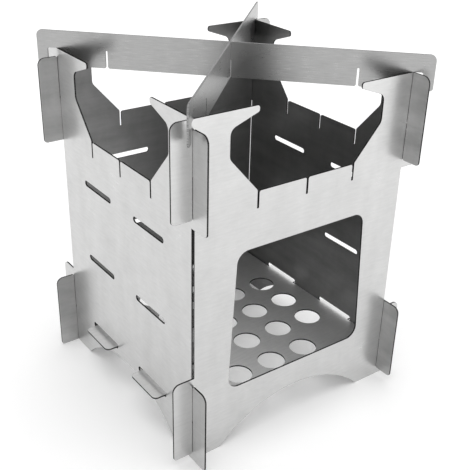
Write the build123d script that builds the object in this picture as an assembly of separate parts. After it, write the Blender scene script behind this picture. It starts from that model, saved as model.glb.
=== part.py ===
from build123d import *
from math import sqrt
import os

# Flat-pack wood stove: four slotted wall plates, a punched fire grate and two crossed pot bars.
# Millimetres, +Z up. The origin is the middle of the square fire box, on the ground.
# The front wall faces -Y. Walls are drawn as seen from outside: across is to the right, up is +Z.

# Sheet and fits
sheet = 0.8  # thickness of every plate
slot_play = 0.1  # free gap on each side of a sheet that stands in a narrow slot
meet_play = 0.5  # from each of two crossed slots to the level where they meet
mouth_radius = 1.0  # rounding of the slot mouths

# Walls
box_width = 120.0  # between the middle planes of opposite walls
wall_height = 169.5

# Wings, the slotted ears that cross at each corner
wing_height = 43.0
wing_raise = 4.0  # how much higher the left wings sit than the right wings
wing_reach = 10.6  # past the neighbour's middle plane
wing_top_radius = 3.5
wing_bottom_radius = 1.8
meet_depth = 24.5  # from the top of a raised wing down to where the crossed slots meet

# Cut-out at the top of each wall, between two posts with horns
cutout_depth = 38.0
slit_spacing = 27.2  # from the middle slit to the two slits at the ends of the floor
slit_depth = 8.0
shoulder_depth = 20.5  # down to where the post turns into the sloped side of the cut-out
shoulder_radius = 4.0
post_width = 17.5  # from the neighbour's middle plane to the post's inner edge
horn_length = 14.3  # from the post's inner edge to the horn's tip
horn_root_depth = 7.9
horn_root_radius = 4.0
horn_tip_depth = 2.7
horn_tip_radius = 1.2

# Feet and the arch between them
foot_width = 15.5  # from the neighbour's middle plane to the arch
foot_radius = 2.0
arch_height = 18.8

# Fuel opening in the front wall
sill_height = 32.4
sill_jamb = 19.3  # from the side wall's middle plane to the opening, at the sill
lintel_jamb = 23.0  # the same at the lintel
lintel_depth = 27.1  # from the floor of the cut-out down to the opening
opening_radius = 6.0

# Grate slots in the other three walls
row_count = 3
first_row_height = 22.8
last_row_depth = 24.65  # from the floor of the cut-out down to the middle of the top row
grate_slot_length = 26.5
grate_slot_offset = 24.05  # from the middle of the wall to the middle of a slot

# Fire grate
grate_play = 0.6  # from the plate's edge to the walls' inner faces
grate_corner_radius = 2.0
tab_end_play = 0.1  # between a tab and the round ends of its slot
tab_top_play = 2.1  # above a tab that lies in its slot
tab_reach = 5.8  # past the wall's outer face
tab_radius = 2.5
hole_diameter = 14.3
hole_side = 5  # holes along a side of the square pattern, which has no corner holes
hole_margin = 9.65  # from the plate's edge to the nearest holes

# Pot bars
bar_height = 17.0
bar_top_radius = 3.0
bar_bottom_radius = 1.5
bar_slot_depth = 8.5  # of the end slots and slits, which open downwards
end_slot_play = 0.25  # between an end slot's inner edge and the crossed walls
end_slot_width = 5.8
end_slot_radius = 1.0
leg_width = 5.2  # of the leg outside each end slot
lap_play = 0.1  # vertical play where the two bars cross
lap_side_play = 0.25  # free gap on each side of a bar in the other bar's half-lap

# What follows from the sizes above
cut_over = 1.0  # how far a cutting tool passes through an edge
half_box = box_width / 2
slot_width = sheet + 2 * slot_play
side_edge = half_box - slot_width / 2  # between its wings a wall ends in line with their slots
wing_tip = half_box + wing_reach

lower_meet = wing_raise + wing_height - meet_depth
upper_meet = wall_height - meet_depth
upper_wing_floor = wall_height - wing_height

cutout_floor = wall_height - cutout_depth
shoulder = wall_height - shoulder_depth
post_edge = half_box - post_width
horn_tip = post_edge - horn_length
arch_half_width = half_box - foot_width

row_pitch = (cutout_floor - last_row_depth - first_row_height) / (row_count - 1)
grate_slot_height = sheet + tab_top_play

corner_distance = half_box * sqrt(2)  # from the middle of the stove to a corner, along a bar
crossing_half = sheet * (1 / sqrt(2) + 0.5)  # half of what two crossed walls take up along a bar
end_slot_inner = corner_distance - crossing_half - end_slot_play
end_slot_outer = end_slot_inner + end_slot_width
bar_half_length = end_slot_outer + leg_width
bar_floor = wall_height - bar_slot_depth
bar_top = bar_floor + bar_height
lap_height = bar_floor + bar_height / 2
lap_width = sheet + 2 * lap_side_play


def rectangle(left, right, low, high):
    """A rectangle between two places across and two heights."""
    middle = Pos((left + right) / 2, (low + high) / 2)
    return middle * Rectangle(right - left, high - low)


def rounded(sketch, radius, points):
    """The sketch with the corners nearest to the given points rounded."""
    corners = [sketch.vertices().sort_by_distance((*point, 0))[0] for point in points]
    return fillet(corners, radius)


def both_sides(points):
    """Points on the right, and their mirror images on the left."""
    return points + [(-across, height) for across, height in points]


def slot_tool(across, bottom, top, width=slot_width):
    """What a narrow upright slot removes."""
    return rectangle(across - width / 2, across + width / 2, bottom, top)


def slot_mouth(across, height, width=slot_width):
    """The left and right corners of a slot's mouth on a level edge."""
    return [(across - width / 2, height), (across + width / 2, height)]


def wing(side, floor):
    """One ear, from inside the wall's side edge out to the wing's tip."""
    inner, outer = side * (side_edge - wing_reach), side * wing_tip
    ear = rectangle(min(inner, outer), max(inner, outer), floor, floor + wing_height)
    ear = rounded(ear, wing_top_radius, [(outer, floor + wing_height)])
    return rounded(ear, wing_bottom_radius, [(outer, floor)])


def top_cutout():
    """The space between the two posts, open at the top."""
    right = [
        (slit_spacing, cutout_floor),
        (post_edge, shoulder),
        (post_edge, wall_height - horn_root_depth),
        (horn_tip, wall_height - horn_tip_depth),
        (horn_tip, wall_height + cut_over),
    ]
    left = [(-across, height) for across, height in reversed(right)]
    cutout = make_face(Polyline(right + left, close=True))
    cutout = rounded(cutout, shoulder_radius, both_sides([(post_edge, shoulder)]))
    return rounded(cutout, horn_root_radius, both_sides([(post_edge, wall_height - horn_root_depth)]))


def foot_arch():
    """The flat arch between the two feet."""
    crown = ThreePointArc((-arch_half_width, 0), (0, arch_height), (arch_half_width, 0))
    return make_face(crown + Line((arch_half_width, 0), (-arch_half_width, 0)))


def wall_outline():
    """The outline that all four walls share, before its slots are cut."""
    outline = rectangle(-side_edge, side_edge, 0, wall_height)
    outline += wing(-1, wing_raise) + wing(-1, upper_wing_floor)
    outline += wing(1, 0) + wing(1, upper_wing_floor - wing_raise)
    outline -= top_cutout()
    outline -= foot_arch()
    tips = both_sides([(horn_tip, wall_height), (horn_tip, wall_height - horn_tip_depth)])
    outline = rounded(outline, min(horn_tip_radius, 0.45 * horn_tip_depth), tips)
    return rounded(outline, foot_radius, both_sides([(arch_half_width, 0)]))


def wall_face():
    """The shared outline with its corner slots and its slits for the pot bars."""
    tools = Sketch()
    mouths = []

    # The left wings drop over the neighbour, so their slots open downwards
    for floor, meet in ((wing_raise, lower_meet), (upper_wing_floor, upper_meet)):
        tools += slot_tool(-half_box, floor - cut_over, meet + meet_play)
        mouths += slot_mouth(-half_box, floor)[:1]

    # The right wings stand under the neighbour, so their slots open upwards
    for floor, meet in ((0, lower_meet), (upper_wing_floor - wing_raise, upper_meet)):
        top = floor + wing_height
        tools += slot_tool(half_box, meet - meet_play, top + cut_over)
        mouths += slot_mouth(half_box, top)[1:]

    # A slit in the middle of the cut-out's floor, and one where each sloped side starts
    slope = (shoulder - cutout_floor) / (post_edge - slit_spacing)
    rise = slope * slot_width / 2
    for across in (-slit_spacing, 0, slit_spacing):
        tools += slot_tool(across, cutout_floor - slit_depth, cutout_floor + rise + cut_over)
    mouths += slot_mouth(0, cutout_floor)
    mouths += both_sides([(slit_spacing - slot_width / 2, cutout_floor)])
    mouths += both_sides([(slit_spacing + slot_width / 2, cutout_floor + rise)])

    return rounded(wall_outline() - tools, mouth_radius, mouths)


def fuel_opening():
    """The tapered opening in the front wall."""
    sill = half_box - sill_jamb
    lintel = half_box - lintel_jamb
    lintel_height = cutout_floor - lintel_depth
    corners = [(-sill, sill_height), (sill, sill_height), (lintel, lintel_height), (-lintel, lintel_height)]
    opening = make_face(Polyline(corners, close=True))
    return fillet(opening.vertices(), opening_radius)


def grate_slots():
    """Rows of round-ended slots, two in each row, that hold the grate's tabs."""
    slots = Sketch()
    for row in range(row_count):
        for across in (-grate_slot_offset, grate_slot_offset):
            place = Pos(across, first_row_height + row * row_pitch)
            slots += place * SlotOverall(grate_slot_length, grate_slot_height)
    return slots


def wall_plate(face, quarter_turns):
    """A wall face made into sheet at the front, then turned about the middle of the stove."""
    front = Plane(origin=(0, -half_box, 0), x_dir=(1, 0, 0), z_dir=(0, -1, 0))
    plate = extrude(front * face, sheet / 2, both=True)
    return Rot(0, 0, -90 * quarter_turns) * plate


def grate_holes(half_plate):
    """A square pattern of round holes that has no corner holes."""
    holes = Sketch()
    last = hole_side - 1
    pitch = 2 * (half_plate - hole_margin - hole_diameter / 2) / last
    for column in range(hole_side):
        for row in range(hole_side):
            if column in (0, last) and row in (0, last):
                continue
            holes += Pos((column - last / 2) * pitch, (row - last / 2) * pitch) * Circle(hole_diameter / 2)
    return holes


def fire_grate():
    """The punched plate whose tabs lie in the lowest slots of the left and right walls."""
    half_plate = half_box - sheet / 2 - grate_play
    face = rectangle(-half_plate, half_plate, -half_plate, half_plate)
    face = fillet(face.vertices(), grate_corner_radius)

    tab_tip = half_box + sheet / 2 + tab_reach
    tab_half_width = (grate_slot_length - grate_slot_height) / 2 - tab_end_play
    for middle in (-grate_slot_offset, grate_slot_offset):
        low, high = middle - tab_half_width, middle + tab_half_width
        tabs = rectangle(-tab_tip, tab_tip, low, high)
        face += fillet(tabs.vertices(), tab_radius)

    slot_floor = first_row_height - grate_slot_height / 2
    return extrude(Plane.XY.offset(slot_floor) * (face - grate_holes(half_plate)), sheet)


def bar_face(lap_opens_up):
    """A pot bar seen from the side, with end slots, slits and the half-lap in its middle."""
    face = rectangle(-bar_half_length, bar_half_length, bar_floor, bar_top)
    face = rounded(face, bar_top_radius, both_sides([(bar_half_length, bar_top)]))
    face = rounded(face, bar_bottom_radius, both_sides([(bar_half_length, bar_floor)]))

    end_slot = rectangle(end_slot_inner, end_slot_outer, bar_floor - cut_over, bar_floor + bar_slot_depth)
    end_slot = rounded(end_slot, end_slot_radius, [(end_slot_outer, bar_floor + bar_slot_depth)])
    face -= end_slot + mirror(end_slot, Plane.YZ)
    mouths = both_sides([(end_slot_inner, bar_floor), (end_slot_outer, bar_floor)])

    for across in (-half_box, half_box):
        face -= slot_tool(across, bar_floor - cut_over, bar_floor + bar_slot_depth)
        mouths += slot_mouth(across, bar_floor)

    if lap_opens_up:
        face -= slot_tool(0, lap_height - lap_play, bar_top + cut_over, lap_width)
        mouths += slot_mouth(0, bar_top, lap_width)
    else:
        face -= slot_tool(0, bar_floor - cut_over, lap_height, lap_width)
        mouths += slot_mouth(0, bar_floor, lap_width)
    return rounded(face, mouth_radius, mouths)


def pot_bar(lap_opens_up, heading):
    """A pot bar as sheet, standing across the stove at a heading from +X."""
    plate = extrude(Plane.XZ * bar_face(lap_opens_up), sheet / 2, both=True)
    return Rot(0, 0, heading) * plate


plain_face = wall_face()
slotted_face = plain_face - grate_slots()

pieces = {
    "front_wall": wall_plate(plain_face - fuel_opening(), 0),
    "left_wall": wall_plate(slotted_face, 1),
    "back_wall": wall_plate(slotted_face, 2),
    "right_wall": wall_plate(slotted_face, 3),
    "fire_grate": fire_grate(),
    "lower_pot_bar": pot_bar(lap_opens_up=True, heading=45),
    "upper_pot_bar": pot_bar(lap_opens_up=False, heading=-45),
}

os.makedirs("parts", exist_ok=True)
for node, solid in pieces.items():
    export_step(solid, f"parts/{node}.step")
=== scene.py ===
import math

import bpy
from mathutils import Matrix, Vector


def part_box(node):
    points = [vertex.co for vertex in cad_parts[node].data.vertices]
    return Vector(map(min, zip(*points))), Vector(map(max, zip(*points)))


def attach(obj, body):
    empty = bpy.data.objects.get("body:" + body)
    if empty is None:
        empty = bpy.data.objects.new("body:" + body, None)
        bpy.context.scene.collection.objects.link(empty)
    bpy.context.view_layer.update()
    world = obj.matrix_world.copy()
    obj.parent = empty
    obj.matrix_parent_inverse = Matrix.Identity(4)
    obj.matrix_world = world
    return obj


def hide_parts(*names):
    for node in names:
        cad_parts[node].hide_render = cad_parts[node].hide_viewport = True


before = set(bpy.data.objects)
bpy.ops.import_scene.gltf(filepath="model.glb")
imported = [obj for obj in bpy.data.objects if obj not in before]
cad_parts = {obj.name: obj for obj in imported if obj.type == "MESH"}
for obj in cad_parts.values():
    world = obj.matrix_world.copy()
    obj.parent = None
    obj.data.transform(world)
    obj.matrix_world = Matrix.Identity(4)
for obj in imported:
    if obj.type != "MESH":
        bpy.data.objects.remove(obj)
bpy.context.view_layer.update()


# The view of the photograph: a short telephoto lens near the front left corner, looking down on
# the stove and held with a slight tilt.
bpy.ops.object.camera_add(
    location=(-0.22176, -0.30692, 0.27387),
    rotation=(math.radians(62.464), math.radians(-1.405), math.radians(-35.822)),
)
camera = bpy.context.object
camera.name = "camera"
camera.data.sensor_width = 36.0
camera.data.lens = 62.58
bpy.context.scene.camera = camera


# Front wall: laser-cut stainless sheet 0.8 mm thick, with the tapered fuel opening. The outer face
# is satin, and the inner face is rougher and darker, painted shade inside the fire box. The cut
# edges are nearly black, painted shade, lightly deburred, and striped across by the laser. It
# crosses both side walls, slot in slot.
deburr = 0.00007
sharp_edge = math.radians(55)
round_edge = math.radians(30)
weld_distance = 0.000002
flat_enough = math.radians(0.5)

# Rolled grain: a fine noise drawn out along the sheet
grain = bpy.data.node_groups.new("rolled_grain", "ShaderNodeTree")
grain.interface.new_socket("Place", in_out="INPUT", socket_type="NodeSocketVector")
grain.interface.new_socket("Along", in_out="INPUT", socket_type="NodeSocketFloat")
grain.interface.new_socket("Across", in_out="INPUT", socket_type="NodeSocketFloat")
grain.interface.new_socket("Streaks", in_out="OUTPUT", socket_type="NodeSocketFloat")
grain_in = grain.nodes.new("NodeGroupInput")
grain_out = grain.nodes.new("NodeGroupOutput")
stretch = grain.nodes.new("ShaderNodeCombineXYZ")
grain.links.new(grain_in.outputs["Along"], stretch.inputs["X"])
grain.links.new(grain_in.outputs["Across"], stretch.inputs["Y"])
stretched = grain.nodes.new("ShaderNodeVectorMath")
stretched.operation = "MULTIPLY"
grain.links.new(grain_in.outputs["Place"], stretched.inputs[0])
grain.links.new(stretch.outputs[0], stretched.inputs[1])
streaks = grain.nodes.new("ShaderNodeTexNoise")
streaks.noise_dimensions = "2D"
streaks.inputs["Scale"].default_value = 1.0
streaks.inputs["Detail"].default_value = 5.0
streaks.inputs["Roughness"].default_value = 0.65
grain.links.new(stretched.outputs[0], streaks.inputs["Vector"])
grain.links.new(streaks.outputs["Fac"], grain_out.inputs["Streaks"])

# Handling marks: cloudy patches, and soft smudges across the grain, which hang down the walls
marks = bpy.data.node_groups.new("handling_marks", "ShaderNodeTree")
marks.interface.new_socket("Place", in_out="INPUT", socket_type="NodeSocketVector")
marks.interface.new_socket("Clouds", in_out="OUTPUT", socket_type="NodeSocketFloat")
marks_in = marks.nodes.new("NodeGroupInput")
marks_out = marks.nodes.new("NodeGroupOutput")
clouds = marks.nodes.new("ShaderNodeTexNoise")
clouds.noise_dimensions = "2D"
clouds.inputs["Scale"].default_value = 70.0
clouds.inputs["Detail"].default_value = 6.0
clouds.inputs["Roughness"].default_value = 0.7
clouds.inputs["Distortion"].default_value = 0.4
marks.links.new(marks_in.outputs["Place"], clouds.inputs["Vector"])
hanging = marks.nodes.new("ShaderNodeMapping")
hanging.inputs["Scale"].default_value = (110.0, 22.0, 1.0)
marks.links.new(marks_in.outputs["Place"], hanging.inputs["Vector"])
smudges = marks.nodes.new("ShaderNodeTexNoise")
smudges.noise_dimensions = "2D"
smudges.inputs["Scale"].default_value = 1.0
smudges.inputs["Detail"].default_value = 3.0
marks.links.new(hanging.outputs["Vector"], smudges.inputs["Vector"])
cloudy = marks.nodes.new("ShaderNodeMix")
cloudy.inputs["Factor"].default_value = 0.4
marks.links.new(clouds.outputs["Fac"], cloudy.inputs["A"])
marks.links.new(smudges.outputs["Fac"], cloudy.inputs["B"])
marks.links.new(cloudy.outputs["Result"], marks_out.inputs["Clouds"])


def satin_steel(name, shade, roughness, along, across, mottle, depth):
    """Satin stainless sheet. Its grain has so many waves a metre along and across the sheet, mottle is
    the handling marks' part beside the grain, and depth is how far both lighten and darken the shade."""
    material = bpy.data.materials.new(name)
    material.use_nodes = True
    nodes, links = material.node_tree.nodes, material.node_tree.links
    shader = nodes["Principled BSDF"]
    shader.inputs["Metallic"].default_value = 1.0
    shader.inputs["Anisotropic"].default_value = 0.3
    shader.inputs["Anisotropic Rotation"].default_value = 0.25
    place = nodes.new("ShaderNodeUVMap")
    place.uv_map = "sheet"
    fine = nodes.new("ShaderNodeGroup")
    fine.node_tree = grain
    fine.inputs["Along"].default_value = along
    fine.inputs["Across"].default_value = across
    links.new(place.outputs["UV"], fine.inputs["Place"])
    worn = nodes.new("ShaderNodeGroup")
    worn.node_tree = marks
    links.new(place.outputs["UV"], worn.inputs["Place"])

    together = nodes.new("ShaderNodeMix")
    together.inputs["Factor"].default_value = mottle
    links.new(fine.outputs["Streaks"], together.inputs["A"])
    links.new(worn.outputs["Clouds"], together.inputs["B"])
    tone = nodes.new("ShaderNodeMapRange")
    tone.inputs["From Min"].default_value = 0.3
    tone.inputs["From Max"].default_value = 0.7
    links.new(together.outputs["Result"], tone.inputs["Value"])

    colour = nodes.new("ShaderNodeMix")
    colour.data_type = "RGBA"
    for end, part in (("A", 1.0 - depth), ("B", 1.0 + depth)):
        grey = part * shade
        blue = 0.995 * grey
        colour.inputs[end].default_value = (grey, grey, blue, 1)
    links.new(tone.outputs["Result"], colour.inputs["Factor"])
    links.new(colour.outputs["Result"], shader.inputs["Base Color"])

    unevenness = 0.05
    satin = nodes.new("ShaderNodeMapRange")
    satin.inputs["To Min"].default_value = roughness + unevenness
    satin.inputs["To Max"].default_value = roughness - unevenness
    links.new(tone.outputs["Result"], satin.inputs["Value"])
    links.new(satin.outputs["Result"], shader.inputs["Roughness"])

    bump = nodes.new("ShaderNodeBump")
    bump.inputs["Strength"].default_value = 0.3
    bump.inputs["Distance"].default_value = 0.00001
    links.new(fine.outputs["Streaks"], bump.inputs["Height"])
    links.new(bump.outputs["Normal"], shader.inputs["Normal"])
    tangent = nodes.new("ShaderNodeTangent")
    tangent.direction_type = "UV_MAP"
    tangent.uv_map = "sheet"
    links.new(tangent.outputs["Tangent"], shader.inputs["Tangent"])
    return material


wall_steel = satin_steel(
    "wall_steel", shade=0.6, roughness=0.31, along=120.0, across=900.0, mottle=0.6, depth=0.09
)
# Inner face: rougher than the outer face, and darker as painted shade inside the fire box
inner_steel_painted_shade = satin_steel(
    "inner_wall_steel_painted_shade", shade=0.25, roughness=0.4, along=16.0, across=110.0, mottle=0.5, depth=0.2
)

# Painted shade darkens the inner face inside the fire box; on the wings outside it, it is paler
left_low, left_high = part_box("left_wall")
wall_middle = abs(left_low[0] + left_high[0]) / 2
wing_shade = 1.8
wing_fade = 0.0002
inner_nodes, inner_links = inner_steel_painted_shade.node_tree.nodes, inner_steel_painted_shade.node_tree.links
spot = inner_nodes.new("ShaderNodeTexCoord")
to_middle = inner_nodes.new("ShaderNodeVectorMath")
to_middle.operation = "ABSOLUTE"
inner_links.new(spot.outputs["Object"], to_middle.inputs[0])
sides = inner_nodes.new("ShaderNodeSeparateXYZ")
inner_links.new(to_middle.outputs[0], sides.inputs[0])
furthest = inner_nodes.new("ShaderNodeMath")
furthest.operation = "MAXIMUM"
inner_links.new(sides.outputs["X"], furthest.inputs[0])
inner_links.new(sides.outputs["Y"], furthest.inputs[1])
on_wing = inner_nodes.new("ShaderNodeMapRange")
on_wing.inputs["From Min"].default_value = wall_middle - wing_fade
on_wing.inputs["From Max"].default_value = wall_middle + wing_fade
on_wing.inputs["To Min"].default_value = 1.0
on_wing.inputs["To Max"].default_value = wing_shade
inner_links.new(furthest.outputs[0], on_wing.inputs["Value"])
inner_shader = inner_nodes["Principled BSDF"]
painted_shade_colour = inner_shader.inputs["Base Color"].links[0].from_socket
wing_shade_lifted = inner_nodes.new("ShaderNodeVectorMath")
wing_shade_lifted.operation = "SCALE"
inner_links.new(painted_shade_colour, wing_shade_lifted.inputs[0])
inner_links.new(on_wing.outputs["Result"], wing_shade_lifted.inputs["Scale"])
inner_links.new(wing_shade_lifted.outputs[0], inner_shader.inputs["Base Color"])


def cut_edge(name, dark, light, grazing):
    """The cut through the sheet: the laser leaves fine stripes from one face to the other, between a
    dark and a light shade. Grazing is the part of the shine that is left at a low angle."""
    material = bpy.data.materials.new(name)
    material.use_nodes = True
    nodes, links = material.node_tree.nodes, material.node_tree.links
    shader = nodes["Principled BSDF"]
    shader.inputs["Metallic"].default_value = 1.0
    shader.inputs["Specular Tint"].default_value = (grazing, grazing, grazing, 1)
    place = nodes.new("ShaderNodeUVMap")
    place.uv_map = "sheet"
    stripes = nodes.new("ShaderNodeTexNoise")
    stripes.noise_dimensions = "2D"
    stripes.inputs["Scale"].default_value = 3500.0
    stripes.inputs["Detail"].default_value = 2.0
    links.new(place.outputs["UV"], stripes.inputs["Vector"])
    shade = nodes.new("ShaderNodeValToRGB")
    shade.color_ramp.elements[0].position = 0.35
    shade.color_ramp.elements[0].color = (dark, dark, dark, 1)
    shade.color_ramp.elements[1].position = 0.65
    shade.color_ramp.elements[1].color = (light, light, light, 1)
    links.new(stripes.outputs["Fac"], shade.inputs["Fac"])
    links.new(shade.outputs["Color"], shader.inputs["Base Color"])
    satin = nodes.new("ShaderNodeMapRange")
    satin.inputs["To Min"].default_value = 0.6
    satin.inputs["To Max"].default_value = 0.4
    links.new(stripes.outputs["Fac"], satin.inputs["Value"])
    links.new(satin.outputs["Result"], shader.inputs["Roughness"])
    bump = nodes.new("ShaderNodeBump")
    bump.inputs["Strength"].default_value = 0.6
    bump.inputs["Distance"].default_value = 0.00003
    links.new(stripes.outputs["Fac"], bump.inputs["Height"])
    links.new(bump.outputs["Normal"], shader.inputs["Normal"])
    return material


# Nearly black: painted shade along the cut edges of the walls and the grate
cut_steel_painted_shade = cut_edge("cut_edge_steel_painted_shade", dark=0.02, light=0.07, grazing=0.2)


def sheet_plate(node, name, facing, right, outer, cut, inner, from_sheet):
    """A plate in its CAD node's place, with deburred edges. The outer face looks towards facing, and
    its grain runs along right. Each plate is cut its own number of metres, from_sheet, further along
    and up the sheet, so that no two have the same marks."""
    outer_slot, cut_slot, inner_slot = 0, 1, 2
    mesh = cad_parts[node].data.copy()
    mesh.name = name
    plate = bpy.data.objects.new(name, mesh)
    bpy.context.scene.collection.objects.link(plate)
    mesh.materials.clear()
    for material in (outer, cut, inner):
        mesh.materials.append(material)
    bpy.ops.object.select_all(action="DESELECT")
    plate.select_set(True)
    bpy.context.view_layer.objects.active = plate
    bpy.ops.object.mode_set(mode="EDIT")
    bpy.ops.mesh.select_all(action="SELECT")
    bpy.ops.mesh.customdata_custom_splitnormals_clear()
    bpy.ops.mesh.remove_doubles(threshold=weld_distance)
    bpy.ops.mesh.dissolve_limited(angle_limit=flat_enough)
    bpy.ops.object.mode_set(mode="OBJECT")

    facing = Vector(facing)
    for face in mesh.polygons:
        side = face.normal.dot(facing)
        if side > 0.5:
            face.material_index = outer_slot
        elif side < -0.5:
            face.material_index = inner_slot
        else:
            face.material_index = cut_slot
    bevel = plate.modifiers.new("deburred", "BEVEL")
    bevel.width = deburr
    bevel.segments = 2
    bevel.limit_method = "ANGLE"
    bevel.angle_limit = sharp_edge
    bevel.use_clamp_overlap = False
    bevel.material = cut_slot
    bpy.ops.object.modifier_apply(modifier=bevel.name)
    bpy.ops.object.shade_smooth_by_angle(angle=round_edge)
    for face in mesh.polygons:
        face.use_smooth = face.material_index == cut_slot

    right = Vector(right)
    up = facing.cross(right)
    places = mesh.uv_layers.new(name="sheet")
    for loop in mesh.loops:
        point = mesh.vertices[loop.vertex_index].co
        places.data[loop.index].uv = (point.dot(right) + from_sheet, point.dot(up) + from_sheet)
    return plate


front = sheet_plate(
    "front_wall", "front_plate", (0, -1, 0), (1, 0, 0), wall_steel, cut_steel_painted_shade, inner_steel_painted_shade, from_sheet=0.0
)
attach(front, "stove_body")
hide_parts("front_wall")


# Left, back and right walls: three copies of one plate, with two rows of spare slots above the
# grate. Each drops over its neighbour at one side and stands under it at the other.
for node, name, facing, right, from_sheet in (
    ("left_wall", "left_plate", (-1, 0, 0), (0, -1, 0), 0.31),
    ("back_wall", "back_plate", (0, 1, 0), (-1, 0, 0), 0.62),
    ("right_wall", "right_plate", (1, 0, 0), (0, 1, 0), 0.93),
):
    wall = sheet_plate(node, name, facing, right, wall_steel, cut_steel_painted_shade, inner_steel_painted_shade, from_sheet)
    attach(wall, "stove_body")
    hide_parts(node)


# Fire grate: the same sheet with 21 punched holes, more matte than the walls and paler, which is
# painted light. Its four tabs lie in the lowest slots of the left and right walls.
# Paler than the walls as painted light
grate_steel = satin_steel(
    "grate_steel", shade=0.86, roughness=0.5, along=120.0, across=900.0, mottle=0.6, depth=0.09
)
grate = sheet_plate(
    "fire_grate", "grate_plate", (0, 0, 1), (1, 0, 0), grate_steel, cut_steel_painted_shade, grate_steel, from_sheet=1.24
)
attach(grate, "stove_body")
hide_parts("fire_grate")


# Pot bars: two strips on edge, crossed in half-laps, with a finer grain from end to end, a darker
# face that is painted shade, and paler edges. They sit over the crossed walls at the corners, and
# lift off one after the other.
# Darker than the walls as painted shade
bar_steel = satin_steel(
    "bar_steel", shade=0.4, roughness=0.3, along=130.0, across=2200.0, mottle=0.35, depth=0.1
)
bar_edge = cut_edge("bar_edge_steel", dark=0.18, light=0.4, grazing=1.0)
half = math.sqrt(0.5)
for node, name, facing, right, body, from_sheet in (
    ("lower_pot_bar", "lower_bar_strip", (half, -half, 0), (half, half, 0), "lower_bar", 1.55),
    ("upper_pot_bar", "upper_bar_strip", (-half, -half, 0), (half, -half, 0), "upper_bar", 1.86),
):
    bar = sheet_plate(node, name, facing, right, bar_steel, bar_edge, bar_steel, from_sheet)
    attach(bar, body)
    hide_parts(node)


# The white table that the stove was photographed on. Seen by the lens, straight or in the steel, it
# is brighter than its own shade, and more so far from the stove, where it keeps no shadow.
def lens_or_mirror(tree):
    """One for what the lens sees, straight or in steel and glass, and zero for what lights things."""
    path = tree.nodes.new("ShaderNodeLightPath")
    mirrored = tree.nodes.new("ShaderNodeMath")
    mirrored.operation = "MAXIMUM"
    tree.links.new(path.outputs["Is Glossy Ray"], mirrored.inputs[0])
    tree.links.new(path.outputs["Is Transmission Ray"], mirrored.inputs[1])
    seen = tree.nodes.new("ShaderNodeMath")
    seen.operation = "MAXIMUM"
    tree.links.new(path.outputs["Is Camera Ray"], seen.inputs[0])
    tree.links.new(mirrored.outputs[0], seen.inputs[1])
    return seen.outputs[0]


bpy.ops.mesh.primitive_plane_add(size=8.0, location=(0, 0, 0))
floor = bpy.context.object
floor.name = "floor"
white = bpy.data.materials.new("white_table")
white.use_nodes = True
nodes, links = white.node_tree.nodes, white.node_tree.links
nodes.clear()
paper = nodes.new("ShaderNodeBsdfDiffuse")
paper.inputs["Color"].default_value = (0.85, 0.85, 0.85, 1)
floor_place = nodes.new("ShaderNodeTexCoord")
away = nodes.new("ShaderNodeVectorMath")
away.operation = "LENGTH"
links.new(floor_place.outputs["Object"], away.inputs[0])
rise = nodes.new("ShaderNodeMapRange")
rise.inputs["From Min"].default_value = 0.2
rise.inputs["From Max"].default_value = 1.2
rise.inputs["To Min"].default_value = 0.18
rise.inputs["To Max"].default_value = 0.58
links.new(away.outputs["Value"], rise.inputs["Value"])
lift = nodes.new("ShaderNodeMath")
lift.operation = "MULTIPLY"
links.new(lens_or_mirror(white.node_tree), lift.inputs[0])
links.new(rise.outputs["Result"], lift.inputs[1])
glow = nodes.new("ShaderNodeEmission")
links.new(lift.outputs[0], glow.inputs["Strength"])
both = nodes.new("ShaderNodeAddShader")
links.new(paper.outputs[0], both.inputs[0])
links.new(glow.outputs[0], both.inputs[1])
out = nodes.new("ShaderNodeOutputMaterial")
links.new(both.outputs[0], out.inputs["Surface"])
floor.data.materials.append(white)


# Soft studio light: a wide panel straight above, whose own shape isn't mirrored in the steel, a weak
# low box at the front right, and an even white room.
aim = Vector((0, 0, 0.08))
for name, place, width, height, power, in_steel in (
    ("high_panel", (0, 0, 1.2), 1.4, 1.4, 12.0, False),
    ("front_softbox", (0.56, -1.06, 0.22), 1.2, 0.45, 2.0, True),
):
    bpy.ops.object.light_add(type="AREA", location=place)
    lamp = bpy.context.object
    lamp.name = name
    lamp.data.shape = "RECTANGLE"
    lamp.data.size = width
    lamp.data.size_y = height
    lamp.data.energy = power
    lamp.visible_glossy = in_steel
    lamp.rotation_euler = (aim - lamp.location).to_track_quat("-Z", "Y").to_euler()

world = bpy.data.worlds.new("white_room")
bpy.context.scene.world = world
world.use_nodes = True
sky = world.node_tree.nodes["Background"]
sky.inputs["Color"].default_value = (1, 1, 1, 1)
room = world.node_tree.nodes.new("ShaderNodeMapRange")
room.inputs["To Min"].default_value = 0.5
room.inputs["To Max"].default_value = 1.0
world.node_tree.links.new(lens_or_mirror(world.node_tree), room.inputs["Value"])
world.node_tree.links.new(room.outputs["Result"], sky.inputs["Strength"])

bpy.context.scene.view_settings.view_transform = "Standard"
